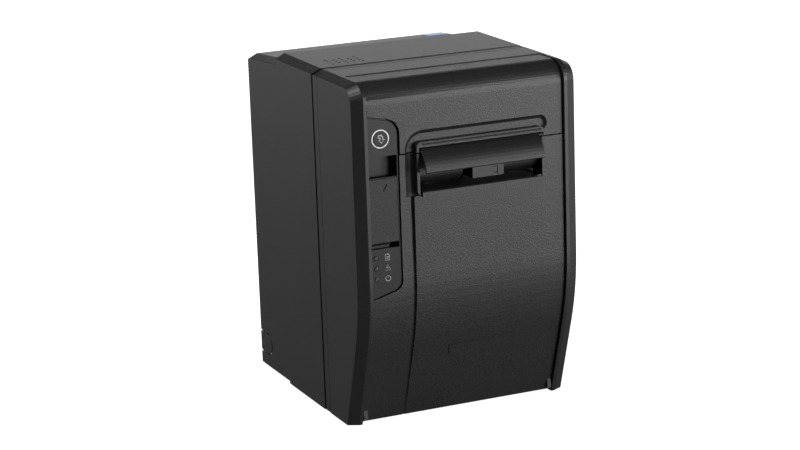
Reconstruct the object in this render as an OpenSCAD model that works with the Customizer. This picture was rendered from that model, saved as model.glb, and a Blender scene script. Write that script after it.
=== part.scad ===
// Front-exit receipt printer with a drop-in roll, a fold-down roll cover and an auto cutter.
// Units are millimetres. X runs left to right seen from the front, Y from front to rear, Z up.
// The origin is the middle of the printer's footprint, visor included, on the table top.

/* [Overall] */
// Width over the two side covers
body_w = 148; // [142:1:170]
// Depth of the casing, without the exit visor
body_d = 176; // [170:1:210]
// Height from the table to the top of the casing
body_h = 218; // [212:1:250]
// How far the exit visor stands in front of the casing
visor_reach = 8; // [6:0.5:10]

/* [Casing] */
// Wall thickness of the moulded casing
wall = 2.5; // [2:0.1:3]
// Width of the chamfer round the side covers, across X
chamfer_x = 6.5; // [5:0.5:8]
// Depth of that chamfer at the front
chamfer_y = 3.6; // [2.5:0.1:4.5]
// Depth of that chamfer at the top
chamfer_z = 3.1; // [2:0.1:4]
// Corner radius from the top to the front
corner_r = 12; // [10:1:16]
// Width of each side cover seen from the front
wing_w = 8.8; // [8:0.2:10]
// How far the roll cover lies behind the side covers' front edge
cover_set = 2; // [1:0.1:3]
// Clearance between the moving cover and what surrounds it
gap = 0.6; // [0.4:0.1:0.8]
// Height up to which the front leans back in a straight line
lean_h = 52; // [40:1:60]
// Height at which the front becomes upright
upright_h = 97; // [85:1:100]
// Lean of the lower front, in degrees
lean = 18.5; // [14:0.5:20]
// Depth of the front bezel on the sides
bezel_d = 54.5; // [50:0.5:60]
// Width of the shallow band behind the bezel
band_w = 8.8; // [6:0.2:10]
// Depth of the rear skirt
skirt_d = 53.5; // [45:0.5:56]
// How far the skirt's sides lie inside the side covers
skirt_inset = 1.7; // [1:0.1:2.5]
// Step from the casing's top down to the skirt's top
skirt_step = 4.3; // [3:0.1:5]
// Fall of the skirt's top towards the rear
skirt_fall = 4.2; // [2:0.1:6]
// Height of the rubber feet
foot_h = 1.2; // [1:0.1:2]
// Radius of the rubber feet
foot_r = 6; // [5:0.5:8]

/* [Paper exit] */
// Paper width
paper_w = 80; // [58:1:80]
// Side clearance of the paper in its path, both sides together
paper_play = 2.8; // [2:0.1:3]
// How far the paper path lies to the right of the middle
path_x = 8.7; // [6:0.1:9]
// Height of the lower edge of the exit slot
slot_z = 149.3; // [147:0.1:151]
// Height of the exit slot
slot_h = 27; // [25:0.5:28]
// Thickness of the slot's upper lip
lip_t = 3.5; // [3:0.1:4]
// How far the lip stands out of the cover
lip_out = 2.6; // [2:0.1:3]
// Height of the seam between the upper fascia and the roll cover
seam_z = 173; // [171:0.5:174]
// Radius of the visor's hinge barrel
visor_barrel_r = 1.6; // [1.4:0.1:1.8]
// Thickness of the visor
visor_t = 1.8; // [1.4:0.1:2]

/* [Controls] */
// Width of the control panel
panel_w = 20; // [19:0.5:21]
// Height of the panel's lower end
panel_z0 = 86; // [84:1:90]
// Height of the panel's upper end
panel_z1 = 197.5; // [195:0.5:200]
// Width of the cover release lever
lever_w = 18.2; // [16:0.2:18.6]
// Height of the cover release lever
lever_h = 39.8; // [36:0.2:40]
// Travel of the cover release lever
lever_travel = 3; // [2:0.1:3]
// Radius of the feed button
button_r = 4.4; // [4:0.1:5]
// Radius of each status lamp
lamp_r = 1.3; // [1:0.1:1.5]
// Distance between status lamps
lamp_pitch = 6.6; // [6:0.1:7]

/* [Mechanism] */
// Radius of the platen roller
platen_r = 7; // [6:0.5:8]
// Radius of the platen shaft
shaft_r = 3; // [2.5:0.1:3.5]
// Gear module
gear_m = 1; // [0.9:0.05:1.1]
// Teeth on the platen gear
platen_teeth = 20; // [18:2:22]
// Teeth on the idler gear
idler_teeth = 24; // [24:24:48]
// Teeth on the motor pinion
pinion_teeth = 14; // [12:1:16]
// Running clearance of every shaft in its bore
run = 0.05; // [0.02:0.01:0.1]
// Thickness of the steel side plates
plate_t = 1.5; // [1.2:0.1:2]
// Radius of the cover's hinge pins
hinge_r = 2; // [1.5:0.1:2.5]
// Inner radius of the roll bin
bin_r = 52; // [45:1:54]
// Radius of the rollers that carry the paper roll
bin_roller_r = 5; // [4:0.5:6]
// Travel of the moving cutter blade
blade_travel = 6.5; // [5:0.5:7]
// Radius of the case screws
screw_r = 1.5; // [1.2:0.1:1.7]

/* [Hidden] */
$fn = 64;
smooth = 32;

// Outer faces.
half_w = body_w / 2;
front_y = visor_reach - (body_d + visor_reach) / 2;
rear_y = front_y + body_d;
cover_y = front_y + cover_set;
band_y0 = front_y + bezel_d;
band_y1 = band_y0 + band_w;
skirt_y = rear_y - skirt_d;
open_w = half_w - wing_w;
cover_half = open_w - gap;
arc_r = (upright_h - lean_h) / sin(lean);
arc_back = arc_r * (1 - cos(lean));
arc_steps = 8;
floor_z = foot_h;
fascia_back = front_y + 31;

// Paper path.
path_w = paper_w + paper_play;
slot_x0 = path_x - path_w / 2;
slot_x1 = path_x + path_w / 2;
slot_top = slot_z + slot_h;
side_lip = 1.7;
channel_r = 6.4;
channel_depth = 2.3;
pad_x0 = slot_x0 - side_lip - 1.6;
pad_x1 = slot_x1 + 0.4;
pad_rise = 1.2;

// Controls.
panel_x0 = -open_w;
panel_x1 = -open_w + panel_w;
panel_y = cover_y + 1;
panel_t = 2;
recess_z0 = 117;
recess_z1 = seam_z + 0.4;
recess_back = panel_y + 7;
lever_x = (panel_x0 + panel_x1) / 2;
lever_z0 = recess_z0 + 3.6;
lever_y = panel_y - 0.3;
lever_tab_z = 152;
button_x = -56;
button_z = 184;
lamp_x = panel_x0 + 3.6;
lamp_z = 111.6;

// Mechanism places.
hinge_y = cover_y + 31;
hinge_z = 12;
platen_y = cover_y + 24;
platen_z = 130;
plate_l = slot_x0 - 4.7;
plate_r = slot_x1 + 3.4;
gear_w = 3.5;
gear_x = plate_l - gear_w - 0.7;
cheek_l = panel_x1 + gap;
cheek_r = plate_r + plate_t + 0.8;
motor_plate_x = gear_x - 1.6;
mesh_play = 0.12;
idler_y = platen_y + gear_m * (platen_teeth + idler_teeth) / 2 + mesh_play;
motor_reach = gear_m * (idler_teeth + pinion_teeth) / 2 + mesh_play;
motor_y = idler_y + motor_reach * cos(45);
motor_z = platen_z + motor_reach * sin(45);
bin_y = platen_y + 50;
bin_z = bin_r + 15;
roller_angles = [-115, -60];
head_y = platen_y + platen_r + 0.4;
cutter_z = platen_z + 9;
latch_y = platen_y + 18;
latch_z = 160;
latch_pin_y = cover_y + 16;
latch_pin_z = latch_z + 1.6;
latch_pin_r = 1.8;
hook_t = 2.8;
latch_l = cheek_l + wall + 0.9;
latch_rx = cover_half - wall - hook_t - 0.9;
crank_x = panel_x1 - 7;
crank_reach = 30;
visor_axis_y = cover_y - 0.6;
visor_axis_z = slot_top - visor_barrel_r - 0.3;
panel_plate_y = rear_y - 22;
board_y = panel_plate_y - 9;

// ---------- helpers ----------

// Extrudes a drawing of the Y-Z plane along X.
module along_x(x0, length) {
    translate([x0, 0, 0]) rotate([90, 0, 90]) linear_extrude(length) children();
}

// Extrudes a drawing of the X-Z plane along Y.
module along_y(y0, length) {
    translate([0, y0 + length, 0]) rotate([90, 0, 0]) linear_extrude(length) children();
}

module rod_x(x0, length, r, y, z) {
    translate([x0, y, z]) rotate([0, 90, 0]) cylinder(r = r, h = length);
}

module rod_y(x, z, r, y0, length) {
    translate([x, y0, z]) rotate([-90, 0, 0]) cylinder(r = r, h = length);
}

module block(x0, x1, y0, y1, z0, z1) {
    translate([x0, y0, z0]) cube([x1 - x0, y1 - y0, z1 - z0]);
}

// How far the front face lies behind its upright part at height z.
function set_back(z) =
    z >= upright_h ? 0 :
    z >= lean_h ? arc_r - sqrt(arc_r * arc_r - pow(upright_h - z, 2)) :
    arc_back + (lean_h - z) * tan(lean);

// The front face from height z0 up to the upright part, for a face that starts at y.
function front_line(y, z0) = concat(
    [[y + set_back(z0), z0]],
    [for (i = [0 : arc_steps])
        let (z = lean_h + (upright_h - lean_h) * i / arc_steps)
        if (z > z0) [y + set_back(z), z]]);

// Round corner between the upright front y and the top z.
function top_corner(y, z, r, n = 8) =
    [for (i = [0 : n]) let (a = 180 - 90 * i / n) [y + r + r * cos(a), z - r + r * sin(a)]];

module side_profile(y, z0, z1, r, back) {
    polygon(concat(front_line(y, z0), top_corner(y, z1, r), [[back, z1], [back, z0]]));
}

// A toothed wheel drawn in the plane, with straight-flanked teeth.
function tooth(r, m, a) =
    let (w = [1.05, 0.66, 0.30], h = [-1.15, 0, 0.85])
    [for (i = [0 : 2]) [r + m * h[i], a - w[i] * m / r * 180 / PI]];
function tooth_end(r, m, a) =
    let (w = [1.05, 0.66, 0.30], h = [-1.15, 0, 0.85])
    [for (i = [2 : -1 : 0]) [r + m * h[i], a + w[i] * m / r * 180 / PI]];
module wheel(teeth, m, phase) {
    r = teeth * m / 2;
    corners = [for (i = [0 : teeth - 1])
        each concat(tooth(r, m, phase + 360 * i / teeth), tooth_end(r, m, phase + 360 * i / teeth))];
    polygon([for (p = corners) [p[0] * cos(p[1]), p[0] * sin(p[1])]]);
}

// A coil spring along Y, swept as one closed tube.
function coil_point(r, length, turns, t) = [r * cos(360 * turns * t), length * t, r * sin(360 * turns * t)];
module coil_y(r, wire, length, turns, steps = 14, sides = 6) {
    rings = turns * steps;
    points = [for (i = [0 : rings], k = [0 : sides - 1])
        let (t = i / rings, a = 360 * turns * t, b = 360 * k / sides, q = r + wire * cos(b))
        [q * cos(a), length * t + wire * sin(b), q * sin(a)]];
    sheath = [for (i = [0 : rings - 1], k = [0 : sides - 1])
        let (n = (k + 1) % sides)
        [i * sides + k, i * sides + n, (i + 1) * sides + n, (i + 1) * sides + k]];
    caps = [[for (k = [sides - 1 : -1 : 0]) k], [for (k = [0 : sides - 1]) rings * sides + k]];
    polyhedron(points, concat(sheath, caps), convexity = 8);
}

// ---------- casing ----------

module base_pan() {
    inner = half_w - wall - 1.9;
    pan_front = hinge_y + 14;
    color("#26272a") difference() {
        union() {
            block(-inner, inner, pan_front, panel_plate_y, floor_z, floor_z + 3);
            for (s = [-1, 1]) hinge_ear(s);
            for (p = mount_points()) translate([p[0], p[1], floor_z]) cylinder(r = 5, h = 7);
        }
        for (p = mount_points()) translate([p[0], p[1], floor_z - 1]) cylinder(r = 1.6, h = 9);
        for (s = [-1, 1]) rod_x(s * (cover_half - 6) - 5, 10, hinge_r, hinge_y, hinge_z);
        for (x = [-30 : 10 : 40], y = [0, 24]) translate([x, y, floor_z - 1]) cube([4, 18, 6]);
    }
}

function mount_points() = [for (x = [-44, 44], y = [-30, 50]) [x, y]];

// Ear that carries one hinge pin of the roll cover.
module hinge_ear(s) {
    x = s * (cover_half - 6) - 2;
    along_x(x, 4) {
        translate([hinge_y, hinge_z]) circle(r = hinge_r + 2.6);
        translate([hinge_y, hinge_z - 2]) square([18, 6]);
        translate([hinge_y + 14, floor_z]) square([8, hinge_z]);
    }
}

module rubber_feet() {
    color("#18181a")
    for (x = [-half_w + 16, half_w - 16], y = [hinge_y + 21, panel_plate_y - 14])
        translate([x, y, 0]) {
            cylinder(r1 = foot_r - 0.6, r2 = foot_r, h = foot_h);
        }
}

// Outer form of the casing's front: upright in the middle and chamfered towards both sides.
module bezel_form() {
    hull() {
        along_x(-half_w + chamfer_x, body_w - 2 * chamfer_x)
            side_profile(front_y, floor_z, body_h, corner_r, band_y0);
        along_x(-half_w, body_w)
            side_profile(front_y + chamfer_y, floor_z, body_h - chamfer_z, corner_r - 2, band_y0);
    }
}

// Section of the casing across X, drawn in the X-Z plane, shrunk by t.
module casing_section(t, z0) {
    w = half_w - t;
    polygon([[-w, z0], [-w, body_h - chamfer_z - t * 0.6], [-w + chamfer_x, body_h - t],
        [w - chamfer_x, body_h - t], [w, body_h - chamfer_z - t * 0.6], [w, z0]]);
}

module front_bezel() {
    tongue = 1.2;
    groove = 0.8;
    color("#2c2d30") difference() {
        union() {
            bezel_form();
            along_y(band_y0 - 1, 1 + groove) casing_section(1.1, floor_z);
            along_y(band_y0 + groove, band_w - 2 * groove) casing_section(0.4, floor_z);
            along_y(band_y1 - groove, groove) casing_section(1.1, floor_z);
            along_y(band_y1, 4) casing_section(wall, floor_z);
        }
        along_x(-half_w + wall, body_w - 2 * wall)
            side_profile(front_y + 5, floor_z - 1, body_h - chamfer_z - 1.6, 8, band_y0 + 1);
        along_y(band_y0, band_w + 5) casing_section(wall + tongue, floor_z - 1);
        along_x(-open_w, 2 * open_w) polygon([[front_y - 5, floor_z - 1], [front_y - 5, body_h + 5],
            [fascia_back, body_h + 5], [fascia_back, body_h - 10], [front_y + 9, body_h - 20],
            [front_y + 40, floor_z - 1]]);
        block(-open_w, open_w, front_y + 7, fascia_back, floor_z - 1, body_h - 6);
    }
}

module mid_case() {
    holes_x = -46;
    holes_y = band_y1 + 15;
    pitch = 4.9;
    color("#2c2d30") difference() {
        along_y(band_y1, skirt_y - band_y1) difference() {
            casing_section(0, floor_z);
            casing_section(wall, floor_z - 1);
        }
        for (c = [-2 : 2], r = [0 : 3]) if (c % 2 == 0 || r < 3)
            translate([holes_x + c * pitch, holes_y + (r - (c % 2 == 0 ? 1.5 : 1)) * pitch, body_h - 6])
                cylinder(r = 1, h = 8);
    }
}

// Section of the rear skirt in the X-Z plane, for a top at height top, shrunk by t.
module skirt_section(t, top) {
    w = half_w - skirt_inset - t;
    polygon([[-w, floor_z], [-w, top - chamfer_z - t * 0.6], [-w + chamfer_x, top - t],
        [w - chamfer_x, top - t], [w, top - chamfer_z - t * 0.6], [w, floor_z]]);
}

module skirt_form(t, y0, y1) {
    top0 = body_h - skirt_step;
    top1 = top0 - skirt_fall;
    hull() {
        along_y(y0, 0.1) skirt_section(t, top0);
        along_y(y1 - 0.1, 0.1) skirt_section(t, top1);
    }
}

module rear_skirt() {
    slot = 0.9;
    color("#2a2b2e") difference() {
        union() {
            skirt_form(0, skirt_y, rear_y);
            along_y(skirt_y - 4, 5) casing_section(wall, floor_z);
        }
        skirt_form(wall, skirt_y - 5, rear_y + 1);
        block(-half_w, half_w, skirt_y - 5, rear_y + 1, floor_z - 1, floor_z + 0.01);
        knockout_slot(slot);
    }
}

// Break-away tab for the cables, cut nearly free from the skirt's left wall.
module knockout_slot(slot) {
    z0 = floor_z + 8.8;
    h = 13;
    r = h / 2;
    reach = 19;
    x0 = -half_w + skirt_inset - 1;
    difference() {
        along_x(x0, wall + 2) union() {
            translate([rear_y - reach + r, z0 + r]) circle(r = r + slot);
            translate([rear_y - reach + r, z0 - slot]) square([reach, h + 2 * slot]);
        }
        along_x(x0 - 1, wall + 4) union() {
            translate([rear_y - reach + r, z0 + r]) circle(r = r);
            translate([rear_y - reach + r, z0]) square([reach + 1, h]);
        }
        for (z = [z0 - 2, z0 + h - 1]) block(x0 - 1, x0 + wall + 3, rear_y - 11, rear_y - 8.6, z, z + 3);
    }
}

// ---------- paper exit ----------

// The dished channel over the exit and down its left side, as a cutter that is open to the front.
module exit_channel(face_y) {
    axis_y = face_y - channel_r + channel_depth;
    xl = slot_x0 - side_lip - 1.6;
    xr = slot_x1 - 1;
    zt = slot_top + lip_t + 1.6;
    bend = channel_r + 0.6;
    translate([xl + bend, axis_y, zt]) rotate([0, 90, 0]) cylinder(r = channel_r, h = xr - xl - bend);
    translate([xr, axis_y, zt]) sphere(r = channel_r);
    translate([xl, axis_y, slot_z - 2.5]) cylinder(r = channel_r, h = zt - bend - slot_z + 2.5);
    translate([xl + bend, axis_y, zt - bend]) rotate([90, -90, 0]) rotate_extrude(angle = 90)
        translate([bend, 0]) circle(r = channel_r);
}

// Extra wall behind the channel.
module channel_backing() {
    along_y(cover_y + wall - 0.9, 2.6) difference() {
        round_frame(slot_x0 - 9, slot_x1 + 4, slot_z - 8, slot_top + 11, 6);
        round_frame(slot_x0, slot_x1, slot_z - 9, slot_top, 1.2);
    }
}

// Rounded frame drawn in the X-Z plane.
module round_frame(x0, x1, z0, z1, r) {
    translate([x0 + r, z0 + r]) offset_rect(x1 - x0 - 2 * r, z1 - z0 - 2 * r, r);
}
module offset_rect(w, h, r) {
    union() {
        translate([-r, 0]) square([w + 2 * r, h]);
        translate([0, -r]) square([w, h + 2 * r]);
        for (x = [0, w], z = [0, h]) translate([x, z]) circle(r = r);
    }
}

// The lip round the exit slot: a frame that stands out of the face, with a fine groove along its top.
module exit_lip(face_y) {
    right_lip = 0.9;
    difference() {
        along_y(face_y - lip_out, lip_out + 8)
            round_frame(slot_x0 - side_lip, slot_x1 + right_lip, slot_z - 2.2, slot_top + lip_t, 3.4);
        along_y(face_y - lip_out - 1, lip_out + 20)
            round_frame(slot_x0, slot_x1, slot_z - 6, slot_top, 1.2);
        block(slot_x0 + 2, slot_x1 - 1.6, face_y - lip_out - 1, face_y - lip_out + 0.5,
            slot_top + lip_t / 2 - 0.2, slot_top + lip_t / 2 + 0.4);
        block(slot_x1 - 0.5, slot_x1 + 5, face_y - lip_out - 1, face_y - 0.8, slot_z - 9, slot_top - 1);
    }
}

// Panel outline in the X-Z plane, grown by g, used for the panel and for the cut-outs round it.
module panel_outline(g) {
    r = 9 + g;
    low = panel_z0 - g;
    high = panel_z1 + g;
    x1 = panel_x1 + g;
    difference() {
        union() {
            polygon([[panel_x0 - g, low], [x1 - 4, low + 4.6], [x1 - 4, low + 12], [panel_x0 - g, low + 12]]);
            translate([panel_x0 - g, low + 11]) square([x1 - panel_x0 + g, high - low - 22]);
            translate([x1 - 6, low + 10.4]) circle(r = 6);
            polygon([[panel_x0 - g, high - 12], [panel_x0 - g, high], [x1 - r, high - 2.6], [x1 - r, high - 12]]);
            translate([x1 - r, high - 2.6 - r]) circle(r = r);
        }
        translate([panel_x0 - g - 20, low - 20]) square([20, 200]);
    }
}

module upper_fascia() {
    color("#2c2d30") difference() {
        union() {
            difference() {
                along_x(-cover_half, 2 * cover_half) difference() {
                    fascia_profile(0);
                    fascia_profile(wall);
                }
                exit_channel(cover_y);
            }
            channel_backing();
            exit_lip(cover_y);
            along_x(-cover_half + 12, 2 * cover_half - 24)
                polygon([[fascia_back - 4, body_h - 2], [fascia_back - 4, body_h - 6.7], [fascia_back + 4, body_h - 6.7],
                    [fascia_back + 4, body_h - 4.9], [fascia_back - 1, body_h - 4.9], [fascia_back - 1, body_h - 2]]);
        }
        along_y(cover_y - 8, 22) panel_outline(gap + 0.5);
        block(-half_w, half_w, cover_y - 9, rear_y, 0, seam_z + gap / 2);
        block(slot_x0, slot_x1, cover_y - 9, cover_y + 20, slot_z, slot_top);
        for (x = [slot_x0 - side_lip + 0.3, slot_x1 - 0.3])
            rod_x(x, side_lip, 1 + run, visor_axis_y, visor_axis_z);
    }
}

// Side view of the fascia: top strip, round corner and upright front.
module fascia_profile(t) {
    top = body_h - 0.4 - t;
    y = cover_y + t;
    polygon(concat([[y, seam_z - 20]], top_corner(y, top, corner_r + 1 - t, 12),
        [[fascia_back - gap + (t > 0 ? 1 : 0), top], [fascia_back - gap + (t > 0 ? 1 : 0), seam_z - 20]]));
}

// ---------- controls ----------

module control_panel() {
    floor_t = 1.5;
    color("#303134") difference() {
        union() {
            along_y(panel_y, panel_t) intersection() {
                panel_outline(-0.05);
                translate([panel_x0 + 0.05, 0]) square([panel_w + 5, body_h]);
            }
            block(panel_x0 + 0.05, panel_x1 - 0.05, recess_back, recess_back + floor_t, recess_z0 - 2, recess_z1 + 2);
            block(panel_x0 + 0.05, panel_x0 + 0.75, panel_y, recess_back + 1, recess_z0 - 2, recess_z1 + 2);
            block(panel_x1 - 0.65, panel_x1 - 0.05, panel_y, recess_back + 1, recess_z0 - 2, recess_z1 + 2);
            for (z = [recess_z0 - 2, recess_z1])
                block(panel_x0 + 0.05, panel_x1 - 0.05, panel_y, recess_back + 1, z, z + 2);
            rod_y(button_x, button_z, button_r + 1.6, panel_y + 1, 4.5);
            block(panel_x0 + 0.05, panel_x1 + 3.2, cover_y + wall + 0.4, cover_y + wall + 1.6, recess_z1, panel_z1 + 4);
        }
        block(panel_x0 + 0.75, panel_x1 - 0.65, panel_y - 1, recess_back, recess_z0, recess_z1);
        rod_y(button_x, button_z, button_r + 0.3, panel_y - 1, 12);
        for (i = [0 : 2]) rod_y(lamp_x, lamp_z - i * lamp_pitch, lamp_r + 0.25, panel_y - 1, 6);
        block(crank_x - 1.5, crank_x + 4.5, recess_back - 1, recess_back + 3, lever_tab_z - 9, lever_tab_z + 4);
    }
    color("#303134") {
        block(panel_x0 + 0.75, panel_x0 + 9.4, panel_y + 1.2, recess_back, recess_z1 - 7.8, recess_z1);
        block(panel_x0 + 0.75, panel_x0 + 14, panel_y + 3.4, recess_back, recess_z0, recess_z0 + 1.4);
    }
}

module status_lamps() {
    color("#3b3d3a") for (i = [0 : 2]) translate([lamp_x, panel_y, lamp_z - i * lamp_pitch]) {
        rotate([-90, 0, 0]) cylinder(r = lamp_r, h = 4.5);
        rotate([90, 0, 0]) cylinder(r1 = lamp_r, r2 = lamp_r - 0.4, h = 0.25);
    }
}

module lamp_board() {
    y = panel_y + 4.5;
    color("#1f5a3c") block(panel_x0 + 1, panel_x1 - 1, y, y + 1.6, panel_z0 + 6, recess_z0 - 2.2);
    color("#d8d8d0") block(panel_x0 + 7, panel_x0 + 14, y - 2, y, panel_z0 + 9, panel_z0 + 14);
    color("#1f5a3c") block(button_x - 7, button_x + 7, panel_y + 8.8, panel_y + 10.4, button_z - 7, button_z + 8);
    color("#303134") block(button_x - 3, button_x + 3, panel_y + 6.6, panel_y + 8.8, button_z - 3, button_z + 3);
    for (x = [button_x - 6, button_x + 6])
        color("#303134") block(x - 0.8, x + 0.8, panel_y + 3.2, panel_y + 8.8, button_z + 6, button_z + 7.6);
}

module feed_button() {
    color("#2f3033") {
        rod_y(button_x, button_z, button_r, panel_y - 0.3, 4);
        rod_y(button_x, button_z, 2, panel_y + 3.7, 2);
    }
}

module cover_lever() {
    x0 = lever_x - lever_w / 2;
    z1 = lever_z0 + lever_h;
    color("#2d2e31") difference() {
        union() {
            block(x0, x0 + lever_w, lever_y, lever_y + 2.6, lever_z0, z1);
            for (x = [x0 + 1, x0 + lever_w - 2.4])
                block(x, x + 1.4, lever_y + 2, recess_back - 0.3, lever_z0 + 1, z1 - 1);
            block(crank_x - 0.5, crank_x + 3.5, lever_y + 2, latch_y - crank_reach + 1.5, lever_tab_z, lever_tab_z + 3);
        }
        along_y(lever_y - 1, 1.6) translate([lever_x, z1 - 6.5])
            polygon([[-2.6, 2.2], [2.6, 2.2], [0, -2.2]]);
        block(x0 - 1, x0 + lever_w + 1, lever_y - 1, lever_y + 0.5, z1 - 0.5, z1 + 1);
    }
}

module top_label() {
    thick = 0.12;
    color("#86b8e0") intersection() {
        difference() {
            skirt_form(-thick, skirt_y, rear_y);
            skirt_form(0, skirt_y - 1, rear_y + 1);
        }
        block(51.5, half_w, rear_y - 13, rear_y - 0.6, body_h - 20, body_h);
    }
}

module buzzer() {
    color("#1c1c1e") translate([-46, band_y1 + 15, body_h - wall - 11]) difference() {
        cylinder(r = 10.5, h = 11);
        translate([0, 0, 9]) cylinder(r = 2, h = 3);
    }
}

// ---------- chassis ----------

module plate_outline() {
    bottom = floor_z + 3;
    difference() {
        polygon([[hinge_y + 16, bottom], [panel_plate_y - 14, bottom], [panel_plate_y - 14, 60],
            [panel_plate_y - 20, 150], [latch_y + 44, 186], [latch_y - 8, 186], [latch_y - 8, 168],
            [platen_y - 6, 166], [platen_y - 6, 108], [platen_y + 12, 90], [hinge_y + 16, 40]]);
        translate([platen_y, platen_z]) circle(r = 5.2);
        translate([platen_y - 10, platen_z - 5.2]) square([10, 10.4]);
        translate([latch_y, latch_z]) circle(r = 2.5 + run);
        translate([head_y + 5, platen_z - 22]) circle(r = 1.5);
        for (a = roller_angles)
            translate([bin_y + (bin_r + 1) * cos(a), bin_z + (bin_r + 1) * sin(a)]) circle(r = 2);
        translate([bin_y, bin_z]) circle(r = 20);
    }
}

module left_side_plate() {
    color("#a9abad") along_x(plate_l, plate_t) difference() {
        plate_outline();
        translate([idler_y, platen_z]) circle(r = 2);
    }
}

module right_side_plate() {
    color("#a9abad") along_x(plate_r, plate_t) plate_outline();
}

module roll_bin() {
    x0 = plate_l + plate_t;
    w = plate_r - x0;
    color("#323337") difference() {
        along_x(x0, w) difference() {
            translate([bin_y, bin_z]) circle(r = bin_r + 2);
            translate([bin_y, bin_z]) circle(r = bin_r);
            translate([bin_y - 80, bin_z + 22]) square([160, 90]);
            translate([bin_y - 90, bin_z - 46]) square([60, 120]);
        }
        for (a = roller_angles)
            rod_x(x0 + 4, w - 8, bin_roller_r + 1, bin_y + (bin_r + 1) * cos(a), bin_z + (bin_r + 1) * sin(a));
        for (a = roller_angles)
            rod_x(x0 - 1, w + 2, 2, bin_y + (bin_r + 1) * cos(a), bin_z + (bin_r + 1) * sin(a));
    }
}

module bin_roller(a) {
    x0 = plate_l + plate_t + 5;
    color("#77797c") difference() {
        rod_x(x0, plate_r - x0 - 5, bin_roller_r, bin_y + (bin_r + 1) * cos(a), bin_z + (bin_r + 1) * sin(a));
        rod_x(x0 - 1, plate_r - x0, 2 + run, bin_y + (bin_r + 1) * cos(a), bin_z + (bin_r + 1) * sin(a));
    }
}

module bin_roller_front() {
    bin_roller(roller_angles[0]);
}

module bin_roller_rear() {
    bin_roller(roller_angles[1]);
}

module bin_axles() {
    color("#c0c2c4") for (a = roller_angles)
        rod_x(plate_l - 1, plate_r + plate_t + 2 - plate_l, 2, bin_y + (bin_r + 1) * cos(a), bin_z + (bin_r + 1) * sin(a));
}

// ---------- rear ----------

// Port openings in the rear panel: name order is power, drawer, network, USB and serial.
port_z0 = 26;
port_x = [-52, -30, -6, 16, 40];
port_w = [12, 14, 16, 13, 31];
port_h = [12, 14, 14, 12, 13];

module rear_panel() {
    w = half_w - skirt_inset - wall - 0.1;
    top = body_h - skirt_step - skirt_fall - wall - 3;
    color("#26272a") difference() {
        block(-w, w, panel_plate_y, panel_plate_y + 2, floor_z, top);
        for (i = [0 : 4]) block(port_x[i] - port_w[i] / 2, port_x[i] + port_w[i] / 2,
            panel_plate_y - 1, panel_plate_y + 3, port_z0, port_z0 + port_h[i]);
        block(34, 56, panel_plate_y - 1, panel_plate_y + 3, 60, 74);
        for (z = [120 : 7 : 176]) block(-40, 40, panel_plate_y - 1, panel_plate_y + 3, z, z + 2.6);
    }
    color("#26272a") for (x = [-57, 57], z = [18, 98]) {
        rod_y(x, z, 3, board_y + 1.6, panel_plate_y - board_y - 1.6);
        rod_y(x, z, 1.6, board_y - 0.6, 3);
    }
}

module main_board() {
    color("#1f5a3c") difference() {
        block(-62, 62, board_y, board_y + 1.6, 12, 104);
        block(switch_x - 13, 63, board_y - 1, board_y + 3, switch_z - 9, switch_z + 9);
        for (x = [-57, 57], z = [18, 98]) rod_y(x, z, 1.6, board_y - 1, 4);
    }
    color("#1a1a1c") block(-20, 0, board_y - 2, board_y, 60, 80);
    color("#b0b2b4") for (x = [14, 28]) rod_y(x, 70, 5, board_y - 12, 12);
    color("#e4e0d0") for (x = [-50, -30, 10, 34]) block(x, x + 14, board_y - 6, board_y, 90, 95);
}

module port_shell(i, depth, lip) {
    x0 = port_x[i] - port_w[i] / 2 + 0.2;
    x1 = port_x[i] + port_w[i] / 2 - 0.2;
    block(x0, x1, board_y + 1.6, panel_plate_y + lip, port_z0 + 0.2, port_z0 + port_h[i] - 0.2);
}

module power_jack() {
    color("#1a1a1c") difference() {
        port_shell(0, 10, 2.4);
        rod_y(port_x[0], port_z0 + port_h[0] / 2, 4.5, panel_plate_y - 5, 10);
    }
    color("#c8cacc") rod_y(port_x[0], port_z0 + port_h[0] / 2, 1, panel_plate_y - 5.5, 6);
}

module drawer_port() {
    color("#1a1a1c") difference() {
        port_shell(1, 10, 2.4);
        block(port_x[1] - 5, port_x[1] + 5, panel_plate_y - 5, panel_plate_y + 3, port_z0 + 3, port_z0 + 10);
    }
}

module network_port() {
    color("#c0c2c4") difference() {
        port_shell(2, 10, 2.4);
        block(port_x[2] - 6, port_x[2] + 6, panel_plate_y - 5, panel_plate_y + 3, port_z0 + 3, port_z0 + 10.5);
    }
}

module usb_port() {
    color("#c0c2c4") difference() {
        port_shell(3, 10, 2.4);
        block(port_x[3] - 4, port_x[3] + 4, panel_plate_y - 5, panel_plate_y + 3, port_z0 + 2.4, port_z0 + 9.6);
    }
    color("#e8e8e6") block(port_x[3] - 2.6, port_x[3] + 2.6, panel_plate_y - 5.5, panel_plate_y + 1,
        port_z0 + 4.6, port_z0 + 7);
}

module serial_port() {
    color("#c0c2c4") {
        port_shell(4, 10, 2.2);
        translate([port_x[4], panel_plate_y + 2.2, port_z0 + port_h[4] / 2]) rotate([-90, 0, 0])
            linear_extrude(4) difference() {
                polygon([[-8.4, 4], [8.4, 4], [9.4, -4], [-9.4, -4]]);
                polygon([[-7.6, 3.3], [7.6, 3.3], [8.5, -3.3], [-8.5, -3.3]]);
            }
    }
    color("#d4b35a") for (i = [-2 : 2])
        rod_y(port_x[4] + i * 2.8, port_z0 + port_h[4] / 2, 0.5, panel_plate_y + 2, 3.4);
}

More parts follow.
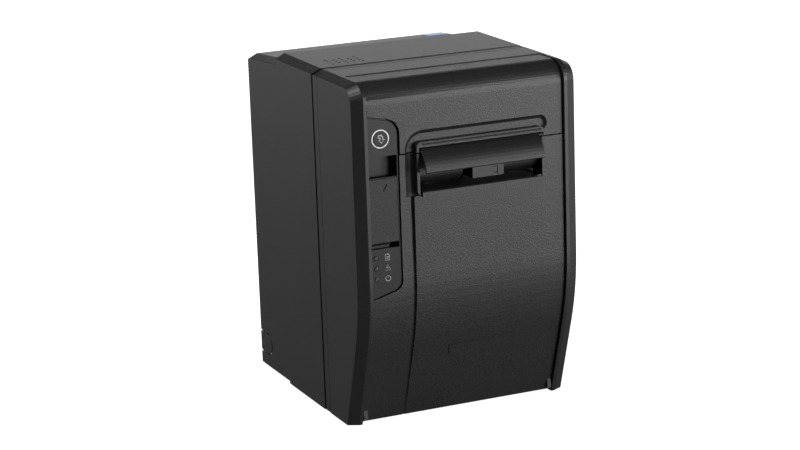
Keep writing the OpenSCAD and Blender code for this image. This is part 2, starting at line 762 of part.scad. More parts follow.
switch_x = 45;
switch_z = 67;
module power_switch_frame() {
    color("#1a1a1c") difference() {
        block(switch_x - 10.9, switch_x + 10.9, panel_plate_y - 10, panel_plate_y + 3.6, switch_z - 6.9, switch_z + 6.9);
        block(switch_x - 9, switch_x + 9, panel_plate_y - 7, panel_plate_y + 5, switch_z - 5.7, switch_z + 5.7);
        rod_x(switch_x - 12, 24, 1 + run, panel_plate_y - 1, switch_z);
    }
}

module power_rocker() {
    color("#202022") {
        along_x(switch_x - 8.7, 17.4) translate([panel_plate_y - 1, switch_z])
            polygon([[-2.2, -1.6], [-2.2, 1.6], [3.2, 4.2], [6.4, 3.6], [4.4, 0], [5.2, -4], [2.6, -4.2]]);
        rod_x(switch_x - 10.6, 21.2, 1, panel_plate_y - 1, switch_z);
    }
}

// ---------- roll cover ----------

module cover_hinge_pins() {
    color("#c0c2c4") for (s = [-1, 1]) rod_x(s > 0 ? cover_half - 8.6 : 0.6 - cover_half, 8, hinge_r, hinge_y, hinge_z);
}

// Side view of the roll cover from its foot to the seam.
module cover_profile() {
    z0 = floor_z + 1.6;
    z1 = seam_z - gap / 2;
    polygon(concat(front_line(cover_y, z0), [[cover_y, z1], [cover_y + 12, z1],
        [cover_y + 12, upright_h], [hinge_y - 10, lean_h - 14], [hinge_y - 3, z0]]));
}

// Inner space of the cover, as a cutter.
module cover_hollow() {
    z0 = floor_z + 1.6 + wall;
    polygon(concat(front_line(cover_y + wall * 1.04, z0), [[cover_y + wall * 1.04, seam_z + 5],
        [cover_y + 60, seam_z + 5], [cover_y + 60, z0]]));
}

module cover_shell() {
    z1 = seam_z - gap / 2;
    boss_x = cover_half - wall;
    color("#2c2d30") difference() {
        union() {
            difference() {
                union() {
                    along_x(-cover_half, 2 * cover_half) cover_profile();
                    raised_pad();
                }
                along_x(-cover_half + wall, 2 * (cover_half - wall)) cover_hollow();
                exit_channel(cover_y);
                pad_groove();
            }
            difference() {
                intersection() {
                    channel_backing();
                    block(-half_w, half_w, cover_y, cover_y + 9, slot_z - 8, z1);
                }
                exit_channel(cover_y);
            }
            cover_walls();
            intersection() {
                exit_lip(cover_y);
                block(-half_w, half_w, cover_y - 9, cover_y + 9, 0, z1);
            }
            exit_ledge();
            for (s = [-1, 1]) rod_x(s > 0 ? boss_x : -cover_half, wall, hinge_r + 3, hinge_y, hinge_z);
            for (s = [-1, 1]) along_x(s > 0 ? boss_x : -cover_half, wall)
                polygon([[hinge_y - 10, floor_z + 3], [hinge_y, hinge_z - hinge_r - 3],
                    [hinge_y, hinge_z + hinge_r + 3], [hinge_y - 9, hinge_z + 14]]);
        }
        along_y(cover_y - 8, 60) panel_outline(gap);
        block(slot_x0, slot_x1, cover_y - 9, cover_y + 30, slot_z, seam_z + 9);
        for (s = [-1, 1]) rod_x(s * cover_half - 10, 20, hinge_r + run, hinge_y, hinge_z);
        for (x = [cheek_l - 1, cover_half - wall - 1])
            rod_x(x, wall + 2, latch_pin_r, latch_pin_y, latch_pin_z);
        block(-half_w, half_w, cover_y - 9, rear_y, z1, body_h);
    }
}

// The pad under the exit, which stands proud at the top and runs out at the foot.
module raised_pad() {
    top = slot_z - 1;
    z0 = floor_z + 1.6;
    zs = concat([z0], [for (i = [0 : arc_steps]) lean_h + (upright_h - lean_h) * i / arc_steps], [top]);
    along_x(pad_x0, pad_x1 - pad_x0) polygon(concat(
        [for (z = zs) [cover_y + set_back(z) - pad_rise * z / top, z]],
        [[cover_y + 1, top], [cover_y + set_back(z0) + 1, z0]]));
}

// Groove down the left edge of the pad, which gets shallower towards the foot.
module pad_groove() {
    top = slot_z - 1;
    z0 = floor_z + 1;
    zs = concat([z0], [for (i = [0 : arc_steps]) lean_h + (upright_h - lean_h) * i / arc_steps], [top + 4]);
    n = len(zs);
    for (k = [0 : 2]) along_x(pad_x0 - 2.4 + 0.4 * k, 2.4 - 0.8 * k) polygon(concat(
        [for (z = zs) [cover_y + set_back(z) - 3, z]],
        [for (i = [n - 1 : -1 : 0]) [cover_y + set_back(zs[i]) + (0.5 + 0.45 * k) * (0.25 + 0.75 * zs[i] / top), zs[i]]]));
}

// Inner walls of the cover that carry the platen's bushes and the latch pins.
module cover_walls() {
    z1 = seam_z - gap / 2;
    back = latch_pin_y + 4.5;
    for (x = [cheek_l, cheek_r, cover_half - wall])
        along_x(x, x == cheek_r ? 2 : wall) difference() {
            union() {
                polygon([[cover_y + 1, platen_z - 34], [platen_y, platen_z - 8], [platen_y, platen_z + 8],
                    [back, z1 - 24], [back, z1 - (x == cheek_r ? 20 : 0)], [cover_y + 1, z1]]);
                translate([platen_y, platen_z]) circle(r = 8);
            }
            if (x < cover_half - wall) translate([platen_y, platen_z]) circle(r = 5);
        }
}

// Shelf along the lower edge of the exit, over which the paper leaves.
module exit_ledge() {
    along_x(slot_x0 + 1.6, path_w - 5.2) polygon([[cover_y - lip_out, slot_z - 3.2], [cover_y - lip_out, slot_z - 0.5],
        [cover_y - lip_out + 0.6, slot_z], [platen_y - 2, slot_z - 0.2], [platen_y - 2, slot_z - 2],
        [cover_y + 1, slot_z - 3.2]]);
}

module cover_liner() {
    x0 = plate_l + plate_t + 1.5;
    w = plate_r - 1.5 - x0;
    color("#3a3b3f") along_x(x0, w) difference() {
        polygon(concat(front_line(cover_y + wall * 1.04, 22), [[cover_y + wall * 1.04, 112],
            [cover_y + 16, 112], [cover_y + 14, upright_h], [hinge_y - 5, 24]]));
        translate([bin_y, bin_z]) circle(r = bin_r);
    }
}

// Front of the raised pad at height z.
function pad_y(z) = cover_y + set_back(z) - pad_rise * z / (slot_z - 1);

module nameplate() {
    z = 45;
    z0 = floor_z + 1.6;
    foot = [pad_y(z0), z0];
    head = [pad_y(lean_h), lean_h];
    tilt = atan((foot[0] - head[0]) / (head[1] - foot[1]));
    y = foot[0] - (z - z0) * tan(tilt);
    color("#36373a") translate([6.5, y, z]) rotate([90 + tilt, 0, 0]) translate([-18, -3.5, 0]) cube([36, 7, 0.35]);
}

module counter_blade() {
    y1 = platen_y + platen_r - 2;
    color("#b4b6b8") along_x(slot_x0 + 1, path_w - 2)
        polygon([[cover_y + 6, cutter_z + 3], [y1, cutter_z + 3], [y1 - 1, cutter_z + 4], [cover_y + 6, cutter_z + 4]]);
    color("#323337") for (x = [slot_x0 + 6, slot_x1 - 12])
        block(x, x + 6, cover_y + wall * 1.04, cover_y + 6, cutter_z + 1, cutter_z + 6);
}

module latch_pins() {
    color("#c0c2c4") {
        rod_x(cheek_l, wall + 4, latch_pin_r, latch_pin_y, latch_pin_z);
        rod_x(cover_half - wall - 4, wall + 4, latch_pin_r, latch_pin_y, latch_pin_z);
    }
}

module platen_bushings() {
    color("#d8d4c4") for (x = [cheek_l, cheek_r]) difference() {
        rod_x(x, x < 0 ? wall : 2, 5, platen_y, platen_z);
        rod_x(x - 1, 5, shaft_r + run, platen_y, platen_z);
    }
}

// ---------- paper drive ----------

module platen_shaft() {
    color("#c0c2c4") rod_x(cheek_l, cheek_r + 2.6 - cheek_l, shaft_r, platen_y, platen_z);
}

module platen_rubber() {
    color("#1b1b1d") difference() {
        rod_x(slot_x0 + 0.8, path_w - 1.6, platen_r, platen_y, platen_z);
        rod_x(slot_x0, path_w, shaft_r, platen_y, platen_z);
    }
}

module platen_gear() {
    color("#e6e2d4") along_x(gear_x, gear_w) difference() {
        translate([platen_y, platen_z]) wheel(platen_teeth, gear_m, 0);
        translate([platen_y, platen_z]) circle(r = shaft_r);
    }
}

module idler_gear() {
    color("#e6e2d4") along_x(gear_x, gear_w) difference() {
        translate([idler_y, platen_z]) wheel(idler_teeth, gear_m, 180 / idler_teeth);
        translate([idler_y, platen_z]) circle(r = 2 + run);
        for (a = [30 : 60 : 330])
            translate([idler_y + 6.4 * cos(a), platen_z + 6.4 * sin(a)]) circle(r = 2);
    }
}

module idler_axle() {
    color("#c0c2c4") {
        rod_x(motor_plate_x, plate_l + plate_t - motor_plate_x, 2, idler_y, platen_z);
        rod_x(gear_x + gear_w + 0.15, 0.5, 3.4, idler_y, platen_z);
    }
}

module feed_motor() {
    x1 = motor_plate_x;
    color("#3c3d41") difference() {
        union() {
            rod_x(x1 - 15, 15, 14, motor_y, motor_z);
            rod_x(x1, 1.2, 4, motor_y, motor_z);
        }
        rod_x(x1 - 9, 12, 1.1 + run, motor_y, motor_z);
    }
}

module motor_pinion() {
    phase = 225 - 360 / pinion_teeth * floor(225 * pinion_teeth / 360);
    color("#d4b35a") along_x(gear_x - 0.2, gear_w + 0.4)
        translate([motor_y, motor_z]) wheel(pinion_teeth, gear_m, phase);
    color("#c0c2c4") rod_x(motor_plate_x - 8, gear_x - motor_plate_x + 7.9, 1.1, motor_y, motor_z);
}

module motor_plate() {
    x0 = motor_plate_x;
    color("#a9abad") difference() {
        union() {
            along_x(x0, 1.2) polygon([[idler_y - 8, platen_z - 8], [idler_y + 6, platen_z - 8],
                [motor_y + 16, motor_z - 6], [motor_y + 16, motor_z + 16], [motor_y - 14, motor_z + 16],
                [idler_y - 8, platen_z + 8]]);
            for (p = plate_posts()) rod_x(x0 + 1, plate_l - x0 - 1, 2.2, p[0], p[1]);
        }
        rod_x(x0 - 1, 4, 4, motor_y, motor_z);
        rod_x(x0 - 1, 4, 2, idler_y, platen_z);
    }
}

function plate_posts() = [[motor_y + 13, motor_z + 13], [motor_y - 11, motor_z + 13.4], [motor_y + 13, motor_z - 3]];

// ---------- print head ----------

module print_head() {
    x0 = plate_l + plate_t + 1.5;
    w = plate_r - 1.5 - x0;
    color("#8b7b5a") block(x0 + 2, x0 + w - 2, head_y, head_y + 1.2, platen_z - 12, platen_z + 7);
}

module head_heatsink() {
    x0 = plate_l + plate_t + 1.5;
    w = plate_r - 1.5 - x0;
    hinge = [head_y + 5, platen_z - 22];
    color("#9a9c9f") difference() {
        union() {
            block(x0, x0 + w, head_y + 1.2, head_y + 4.6, platen_z - 18, platen_z + 8);
            along_x(x0, w) polygon([[head_y + 1.2, platen_z - 18], [hinge[0] - 3, hinge[1]],
                [hinge[0] + 3, hinge[1]], [head_y + 4.6, platen_z - 16]]);
            rod_x(x0, w, 3, hinge[0], hinge[1]);
        }
        rod_x(x0 - 1, w + 2, 1.5 + run, hinge[0], hinge[1]);
    }
}

module head_pivot() {
    color("#c0c2c4") rod_x(plate_l - 0.8, plate_r + plate_t + 1.6 - plate_l, 1.5, head_y + 5, platen_z - 22);
}

spring_x = [slot_x0 + 16, slot_x1 - 16];
module head_springs() {
    color("#b4b6b8") for (x = spring_x) translate([x, head_y + 5, platen_z]) coil_y(2.6, 0.35, 7.1, 5);
}

module head_spring_bar() {
    y = head_y + 12.5;
    color("#a9abad") {
        block(plate_l + plate_t, plate_r, y, y + 1.5, platen_z - 5, platen_z + 5);
        for (x = spring_x) rod_y(x, platen_z, 1.8, y - 3, 3);
    }
}

// ---------- cutter ----------

rack_r = 0.8 * 13 / 2;
cut_x = slot_x0 + 18;
cut_y = head_y + 24;
module cutter_bed() {
    x0 = plate_l + plate_t;
    color("#323337") difference() {
        block(x0, plate_r, head_y + 3, head_y + 38, cutter_z, cutter_z + 8);
        block(x0 + 4, plate_r - 4, head_y + 2, head_y + 36, cutter_z + 3.6, cutter_z + 6.6);
        block(x0 + 4, plate_r - 4, head_y + 2, head_y + 5, cutter_z + 3.6, cutter_z + 9);
        translate([cut_x, cut_y, cutter_z + 2]) cylinder(r = 7, h = 7);
    }
}

module moving_blade() {
    x0 = plate_l + plate_t + 5;
    x1 = plate_r - 5;
    y0 = head_y + 1.4;
    z = cutter_z + 4.3;
    mid = (x0 + x1) / 2;
    rack_x = cut_x + rack_r + 0.1;
    color("#c4c6c8") translate([0, 0, z]) linear_extrude(0.8) difference() {
        polygon([[x0, y0], [mid, y0 + 2.4], [x1, y0], [x1, y0 + 24], [x0, y0 + 24]]);
        translate([cut_x - 7, cut_y - 14]) square([rack_x - cut_x + 8, 30]);
    }
    color("#c4c6c8") translate([0, 0, z]) linear_extrude(1.6) union() {
        translate([rack_x + 0.9, cut_y - 13]) square([3, 22]);
        for (i = [-4 : 3]) translate([rack_x, cut_y + (i + 0.5) * 0.8 * PI])
            polygon([[-0.68, -0.22], [0, -0.5], [1, -0.84], [1, 0.84], [0, 0.5], [-0.68, 0.22]]);
    }
}

module cutter_motor() {
    z = cutter_z + 8.3;
    color("#8e9093") translate([cut_x, cut_y, z]) difference() {
        cylinder(r = 8, h = 22);
        translate([0, 0, -1]) cylinder(r = 1 + run, h = 8);
    }
    color("#323337") translate([cut_x - 10, cut_y - 10, cutter_z + 8]) difference() {
        cube([20, 20, 0.3]);
        translate([10, 10, -1]) cylinder(r = 4, h = 3);
    }
}

module cutter_pinion() {
    color("#d4b35a") translate([cut_x, cut_y, cutter_z + 4.3]) linear_extrude(1.8) wheel(13, 0.8, 0);
    color("#c0c2c4") translate([cut_x, cut_y, cutter_z + 6.1]) cylinder(r = 1, h = 8);
}

// ---------- exit ----------

module exit_guide() {
    r = 7.5;
    y = cover_y + 11.5;
    z = slot_z + 2 + r;
    color("#2b2c2f") difference() {
        union() {
            along_x(slot_x0 + 0.3, path_w - 0.6) union() {
                translate([y, z]) circle(r = r);
                polygon([[y, z - r], [y + 12, z - r], [y + 17, z - 3], [y + 17, z + 11], [y - r, z + 11], [y - r, z]]);
            }
            block(plate_l + plate_t, plate_r, y + 13, y + 17, z - 3, z + 10);
        }
        block(slot_x0 + 31.5, slot_x0 + 59, y - r - 1, y + 7, z - r - 1, z + 12);
    }
}

module taken_sensor() {
    y = cover_y + 3.4;
    x0 = slot_x0 + 37.7;
    z0 = slot_z + 2.6;
    color("#34363a") difference() {
        block(x0, x0 + 20.9, y, cover_y + 18.5, z0, z0 + 15);
        block(x0 + 14, x0 + 17, y - 1, y + 1, z0 + 1.5, z0 + 6);
    }
    color("#101012") block(x0 + 14, x0 + 17, y + 0.4, y + 1, z0 + 2.2, z0 + 5.3);
}

// Side view of the visor: a barrel at the top and a curved plate down to its free edge.
module visor_profile() {
    y0 = visor_axis_y;
    z0 = visor_axis_z;
    tip_y = front_y - visor_reach;
    tip_z = slot_z + 13;
    sag = 1.5;
    n = 8;
    outer = [for (i = [0 : n]) let (t = i / n) [
        y0 - visor_barrel_r * 0.8 + (tip_y - y0 + visor_barrel_r * 0.8) * t - sag * 0.8 * sin(180 * t),
        z0 + visor_barrel_r * 0.6 + (tip_z - z0 - visor_barrel_r * 0.6) * t + sag * 0.6 * sin(180 * t)]];
    inner = [for (i = [n : -1 : 0]) let (t = i / n) outer[i] + [visor_t * 0.86, -visor_t * 0.5] * (1 - 0.25 * t)];
    polygon(concat(outer, inner));
    translate([y0, z0]) circle(r = visor_barrel_r);
}

module exit_visor() {
    color("#252629") {
        along_x(slot_x0 + 1, path_w - 3.4) visor_profile();
        rod_x(slot_x0 - 0.8, path_w + 1.6, 1, visor_axis_y, visor_axis_z);
    }
}

// ---------- latch ----------

module latch_shaft() {
    color("#c0c2c4") rod_x(crank_x - 1, latch_rx + hook_t + 1 - crank_x, 2.5, latch_y, latch_z);
}

// A latch hook in side view, let down just far enough for the pin to pass over its tooth.
module hook_outline() {
    top = latch_pin_z - latch_pin_r - 3.6;
    tooth_y = latch_pin_y - latch_pin_r - 0.4;
    difference() {
        union() {
            translate([latch_y, latch_z]) circle(r = 5);
            polygon([[latch_y, latch_z - 5], [latch_y, latch_z + 4], [latch_y - 7, top], [tooth_y, top],
                [tooth_y - 0.3, top + 2.3], [tooth_y - 1.4, top + 2.2], [tooth_y - 3.6, top - 1],
                [tooth_y - 3.6, top - 4]]);
        }
        translate([latch_y, latch_z]) circle(r = 2.5);
    }
}

module latch_hooks() {
    color("#b4b6b8") for (x = [latch_l, latch_rx]) along_x(x, hook_t) hook_outline();
}

module latch_crank() {
    finger_y = latch_y - crank_reach;
    color("#b4b6b8") along_x(crank_x, 3) difference() {
        union() {
            translate([latch_y, latch_z]) circle(r = 5);
            polygon([[latch_y, latch_z - 5], [latch_y - 1, latch_z + 4.5], [finger_y + 5, lever_tab_z + 1],
                [finger_y + 3.4, lever_tab_z - 0.3], [finger_y - 1.5, lever_tab_z - 0.3],
                [finger_y - 1.5, lever_tab_z - 4], [finger_y + 4, lever_tab_z - 4]]);
        }
        translate([latch_y, latch_z]) circle(r = 2.5);
    }
}

module case_screws() {
    color("#8e9093") for (p = mount_points()) translate([p[0], p[1], floor_z + 7]) {
        cylinder(r = 3, h = 1.8);
        translate([0, 0, -4]) cylinder(r = screw_r, h = 4);
    }
}

base_pan();
rubber_feet();
front_bezel();
mid_case();
rear_skirt();
upper_fascia();
control_panel();
status_lamps();
lamp_board();
feed_button();
cover_lever();
top_label();
buzzer();
left_side_plate();
right_side_plate();
roll_bin();
bin_roller_front();
bin_roller_rear();
bin_axles();
rear_panel();
main_board();
power_jack();
usb_port();
network_port();
drawer_port();
serial_port();
power_switch_frame();
power_rocker();
cover_hinge_pins();
cover_shell();
cover_liner();
nameplate();
counter_blade();
latch_pins();
platen_bushings();
platen_shaft();
platen_rubber();
platen_gear();
idler_gear();
idler_axle();
feed_motor();
motor_pinion();
motor_plate();
print_head();
head_heatsink();
head_pivot();
head_springs();
head_spring_bar();
cutter_bed();
moving_blade();
cutter_motor();
cutter_pinion();
exit_guide();
taken_sensor();
exit_visor();
latch_shaft();
latch_hooks();
latch_crank();
case_screws();
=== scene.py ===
"""Looks of the front-exit receipt printer: finishes, printed marks, fittings, lamps and camera."""
from math import cos, pi, radians, sin

import bpy
from mathutils import Matrix, Vector


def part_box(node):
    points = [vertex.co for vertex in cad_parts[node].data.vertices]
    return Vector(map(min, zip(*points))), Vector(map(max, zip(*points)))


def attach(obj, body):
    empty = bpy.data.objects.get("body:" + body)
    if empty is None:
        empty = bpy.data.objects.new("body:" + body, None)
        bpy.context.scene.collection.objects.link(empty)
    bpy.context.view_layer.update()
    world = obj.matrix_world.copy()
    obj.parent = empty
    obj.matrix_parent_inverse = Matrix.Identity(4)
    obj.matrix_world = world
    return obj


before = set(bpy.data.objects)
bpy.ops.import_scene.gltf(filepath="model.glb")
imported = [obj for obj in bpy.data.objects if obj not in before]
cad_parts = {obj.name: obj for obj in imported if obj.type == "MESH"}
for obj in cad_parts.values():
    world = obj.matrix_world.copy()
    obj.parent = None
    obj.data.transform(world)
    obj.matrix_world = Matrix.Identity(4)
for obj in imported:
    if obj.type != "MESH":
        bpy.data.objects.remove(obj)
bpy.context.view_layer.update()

MM = 0.001


# ---------- camera ----------

def set_camera():
    """Camera at the customer's left, a little above the printer, slightly rolled."""
    place = Vector((-0.6209, -1.3815, 0.4998))
    turn = radians(-23.88)
    look_down = radians(14.57)
    roll = radians(1.955)
    lens_data = bpy.data.cameras.new("product_camera")
    lens_data.lens = 110.8
    lens_data.sensor_width = 36
    camera = bpy.data.objects.new("product_camera", lens_data)
    bpy.context.scene.collection.objects.link(camera)
    pose = (Matrix.Rotation(turn, 4, "Z") @ Matrix.Rotation(pi / 2 - look_down, 4, "X")
            @ Matrix.Rotation(-roll, 4, "Z"))
    camera.matrix_world = Matrix.Translation(place) @ pose
    bpy.context.scene.camera = camera


set_camera()
bpy.context.scene.view_settings.view_transform = "Standard"


# ---------- materials ----------

def new_material(name):
    """A node material, its nodes and links, its shader and the object coordinates to texture by."""
    material = bpy.data.materials.new(name)
    material.use_nodes = True
    nodes = material.node_tree.nodes
    shader = nodes["Principled BSDF"]
    place = nodes.new("ShaderNodeTexCoord")
    return material, nodes, material.node_tree.links, shader, place.outputs["Object"]


def noise(nodes, links, place, per_metre, detail=3.0, rough=0.55):
    """Noise texture with a number of blotches to the metre."""
    texture = nodes.new("ShaderNodeTexNoise")
    texture.inputs["Scale"].default_value = per_metre
    texture.inputs["Detail"].default_value = detail
    texture.inputs["Roughness"].default_value = rough
    links.new(place, texture.inputs["Vector"])
    return texture.outputs["Fac"]


def ramp(nodes, links, value, stops):
    """Colour ramp over (position, colour) stops."""
    node = nodes.new("ShaderNodeValToRGB")
    band = node.color_ramp
    band.elements[0].position = stops[0][0]
    band.elements[0].color = (*stops[0][1], 1)
    band.elements[1].position = stops[-1][0]
    band.elements[1].color = (*stops[-1][1], 1)
    for position, colour in stops[1:-1]:
        band.elements.new(position).color = (*colour, 1)
    links.new(value, node.inputs["Fac"])
    return node.outputs["Color"]


def shade(colour, factor):
    """A colour made lighter or darker."""
    return tuple(min(1.0, part * factor) for part in colour)


def bump(nodes, links, height, strength, distance, before=None):
    """Bump node, stacked on an earlier one if given."""
    node = nodes.new("ShaderNodeBump")
    node.inputs["Strength"].default_value = strength
    node.inputs["Distance"].default_value = distance
    links.new(height, node.inputs["Height"])
    if before is not None:
        links.new(before, node.inputs["Normal"])
    return node.outputs["Normal"]


def moulded_plastic(name, colour, gloss, grain_mm, grain_depth, spread, fleck=0.0, shine=0.5):
    """Moulded plastic with a spark-eroded grain, faint cloudiness and patchy gloss.

    Grain size and depth are in millimetres. Spread is the cloudiness, fleck the light specks in the grain.
    """
    material, nodes, links, shader, place = new_material(name)
    clouds = noise(nodes, links, place, 38, 4)
    grain = noise(nodes, links, place, 1 / (grain_mm * MM), 2.5, 0.6)
    base = ramp(nodes, links, clouds, [(0.3, shade(colour, 1 - spread)), (0.7, shade(colour, 1 + spread))])
    if fleck:
        specks = ramp(nodes, links, grain, [(0.42, (0, 0, 0)), (0.68, (1, 1, 1))])
        mix = nodes.new("ShaderNodeMix")
        mix.data_type = "RGBA"
        mix.blend_type = "ADD"
        mix.inputs["Factor"].default_value = fleck
        links.new(base, mix.inputs["A"])
        links.new(specks, mix.inputs["B"])
        base = mix.outputs["Result"]
    links.new(base, shader.inputs["Base Color"])
    rough = nodes.new("ShaderNodeMapRange")
    rough.inputs["To Min"].default_value = gloss - 0.06
    rough.inputs["To Max"].default_value = gloss + 0.08
    links.new(grain, rough.inputs["Value"])
    links.new(rough.outputs["Result"], shader.inputs["Roughness"])
    pits = noise(nodes, links, place, 0.36 / (grain_mm * MM), 3)
    normal = bump(nodes, links, grain, 0.55, grain_depth * MM)
    normal = bump(nodes, links, pits, 0.08, grain_depth * MM, normal)
    links.new(normal, shader.inputs["Normal"])
    shader.inputs["Specular IOR Level"].default_value = shine
    return material


def sheet_metal(name, colour, gloss, brushed=(1.0, 1.0, 1.0), metal=1.0):
    """Metal with brushing stretched along one way and faint handling marks."""
    material, nodes, links, shader, place = new_material(name)
    stretch = nodes.new("ShaderNodeMapping")
    stretch.inputs["Scale"].default_value = brushed
    links.new(place, stretch.inputs["Vector"])
    lines = noise(nodes, links, stretch.outputs["Vector"], 900, 4)
    marks = noise(nodes, links, place, 60, 5)
    base = ramp(nodes, links, lines, [(0.3, shade(colour, 0.82)), (0.7, shade(colour, 1.12))])
    links.new(base, shader.inputs["Base Color"])
    rough = nodes.new("ShaderNodeMapRange")
    rough.inputs["To Min"].default_value = gloss - 0.08
    rough.inputs["To Max"].default_value = gloss + 0.12
    links.new(marks, rough.inputs["Value"])
    links.new(rough.outputs["Result"], shader.inputs["Roughness"])
    links.new(bump(nodes, links, lines, 0.15, 0.02 * MM), shader.inputs["Normal"])
    shader.inputs["Metallic"].default_value = metal
    return material


def circuit_green(name):
    """Solder mask with faint copper runs under it."""
    material, nodes, links, shader, place = new_material(name)
    runs = nodes.new("ShaderNodeTexBrick")
    runs.inputs["Scale"].default_value = 160
    runs.inputs["Mortar Size"].default_value = 0.03
    runs.inputs["Color1"].default_value = (0.012, 0.085, 0.045, 1)
    runs.inputs["Color2"].default_value = (0.010, 0.070, 0.040, 1)
    runs.inputs["Mortar"].default_value = (0.05, 0.19, 0.09, 1)
    turned = nodes.new("ShaderNodeMapping")
    turned.inputs["Rotation"].default_value = (pi / 2, 0, 0)
    links.new(place, turned.inputs["Vector"])
    links.new(turned.outputs["Vector"], runs.inputs["Vector"])
    links.new(runs.outputs["Color"], shader.inputs["Base Color"])
    links.new(bump(nodes, links, runs.outputs["Fac"], 0.3, 0.03 * MM), shader.inputs["Normal"])
    shader.inputs["Roughness"].default_value = 0.34
    return material


def smoked_lens(name, colour):
    """Unlit lamp lens of smoked plastic."""
    material, nodes, links, shader, place = new_material(name)
    depth = noise(nodes, links, place, 700, 2)
    tint = ramp(nodes, links, depth, [(0.3, shade(colour, 0.6)), (0.7, colour)])
    links.new(tint, shader.inputs["Base Color"])
    links.new(bump(nodes, links, depth, 0.1, 0.02 * MM), shader.inputs["Normal"])
    shader.inputs["Roughness"].default_value = 0.34
    shader.inputs["Coat Weight"].default_value = 0.1
    return material


CHARCOAL = (0.006, 0.006, 0.0063)

materials = {
    "case": moulded_plastic("case_charcoal", shade(CHARCOAL, 0.95),
                            gloss=0.47, grain_mm=0.70, grain_depth=0.05, spread=0.10, fleck=0.003),
    "cover": moulded_plastic("cover_charcoal_grain", CHARCOAL,
                             gloss=0.47, grain_mm=0.80, grain_depth=0.30, spread=0.12, fleck=0.007),
    "panel": moulded_plastic("panel_satin", shade(CHARCOAL, 1.05),
                             gloss=0.44, grain_mm=0.40, grain_depth=0.012, spread=0.08, shine=0.32),
    "lever": moulded_plastic("lever_grain", shade(CHARCOAL, 0.95),
                             gloss=0.47, grain_mm=0.90, grain_depth=0.18, spread=0.12, fleck=0.006,
                             shine=0.34),
    "visor": moulded_plastic("visor_dark", shade(CHARCOAL, 0.85),
                             gloss=0.47, grain_mm=0.90, grain_depth=0.16, spread=0.10, fleck=0.005,
                             shine=0.36),
    "inner": moulded_plastic("inner_dark", shade(CHARCOAL, 0.9),
                             gloss=0.50, grain_mm=0.6, grain_depth=0.02, spread=0.15),
    "black": moulded_plastic("black_moulding", (0.010, 0.010, 0.011),
                             gloss=0.40, grain_mm=0.5, grain_depth=0.015, spread=0.2),
    "rubber": moulded_plastic("foot_rubber", (0.014, 0.014, 0.014),
                              gloss=0.78, grain_mm=0.35, grain_depth=0.03, spread=0.25),
    "acetal": moulded_plastic("natural_acetal", (0.66, 0.63, 0.55),
                              gloss=0.38, grain_mm=0.5, grain_depth=0.01, spread=0.05),
    "grey_acetal": moulded_plastic("grey_acetal", (0.12, 0.12, 0.125),
                                   gloss=0.40, grain_mm=0.5, grain_depth=0.01, spread=0.10),
    "ceramic": moulded_plastic("head_glaze", (0.22, 0.16, 0.09),
                               gloss=0.18, grain_mm=0.8, grain_depth=0.005, spread=0.10),
    "plate": sheet_metal("zinc_sheet", (0.50, 0.51, 0.52), 0.36, (0.15, 1.0, 1.0)),
    "bar": sheet_metal("ground_steel", (0.60, 0.61, 0.62), 0.22, (1.0, 0.1, 0.1)),
    "screw": sheet_metal("black_steel", (0.16, 0.16, 0.165), 0.38),
    "tin": sheet_metal("tinned_steel", (0.56, 0.56, 0.57), 0.30, (1.0, 1.0, 0.2)),
    "alloy": sheet_metal("sink_aluminium", (0.58, 0.59, 0.60), 0.34, (0.1, 1.0, 1.0)),
    "can": sheet_metal("motor_can", (0.075, 0.077, 0.082), 0.40, (0.2, 1.0, 1.0), 0.6),
    "brass": sheet_metal("gear_brass", (0.60, 0.42, 0.16), 0.30),
    "board": circuit_green("board_green"),
    "lens": smoked_lens("lamp_smoked", (0.035, 0.036, 0.034)),
    "label": moulded_plastic("label_blue", (0.22, 0.50, 0.86),
                             gloss=0.42, grain_mm=0.9, grain_depth=0.006, spread=0.04),
    # Near-black with little shine: painted shade for the groove round the casing, and print for the rear
    # label lines.
    "seam": moulded_plastic("seam_black", (0.003, 0.003, 0.003),
                            gloss=0.7, grain_mm=0.5, grain_depth=0.01, spread=0.1, shine=0.15),
    "label_grey": moulded_plastic("label_silver", (0.42, 0.43, 0.44),
                                  gloss=0.4, grain_mm=0.6, grain_depth=0.01, spread=0.05),
    "print_grey": moulded_plastic("print_pale_grey", (0.50, 0.50, 0.50),
                                  gloss=0.55, grain_mm=0.4, grain_depth=0.004, spread=0.05),
    "print_white": moulded_plastic("print_soft_white", (0.70, 0.70, 0.70),
                                   gloss=0.55, grain_mm=0.4, grain_depth=0.004, spread=0.05),
}

finishes = {
    "case": "front_bezel mid_case rear_skirt",
    "cover": "cover_shell upper_fascia nameplate",
    "panel": "control_panel feed_button",
    "lever": "cover_lever",
    "visor": "exit_visor exit_guide",
    "inner": "base_pan roll_bin rear_panel cover_liner cutter_bed taken_sensor",
    "black": "power_jack drawer_port power_switch_frame power_rocker buzzer",
    "rubber": "rubber_feet platen_rubber",
    "acetal": "platen_gear idler_gear platen_bushings",
    "grey_acetal": "bin_roller_front bin_roller_rear",
    "ceramic": "print_head",
    "plate": "left_side_plate right_side_plate motor_plate head_spring_bar latch_hooks latch_crank "
             "counter_blade moving_blade",
    "bar": "bin_axles cover_hinge_pins latch_pins platen_shaft idler_axle head_pivot latch_shaft "
           "head_springs",
    "screw": "case_screws",
    "tin": "usb_port network_port serial_port",
    "alloy": "head_heatsink",
    "can": "feed_motor cutter_motor",
    "brass": "motor_pinion cutter_pinion",
    "board": "lamp_board main_board",
    "lens": "status_lamps",
    "label": "top_label",
}


WELD_REACH = 0.01 * MM
SHARP_ANGLE = radians(28)
EDGE_WIDTH_MM = {"front_bezel": 0.3, "rear_skirt": 0.3, "upper_fascia": 0.3,
                 "cover_lever": 0.3, "exit_visor": 0.25}


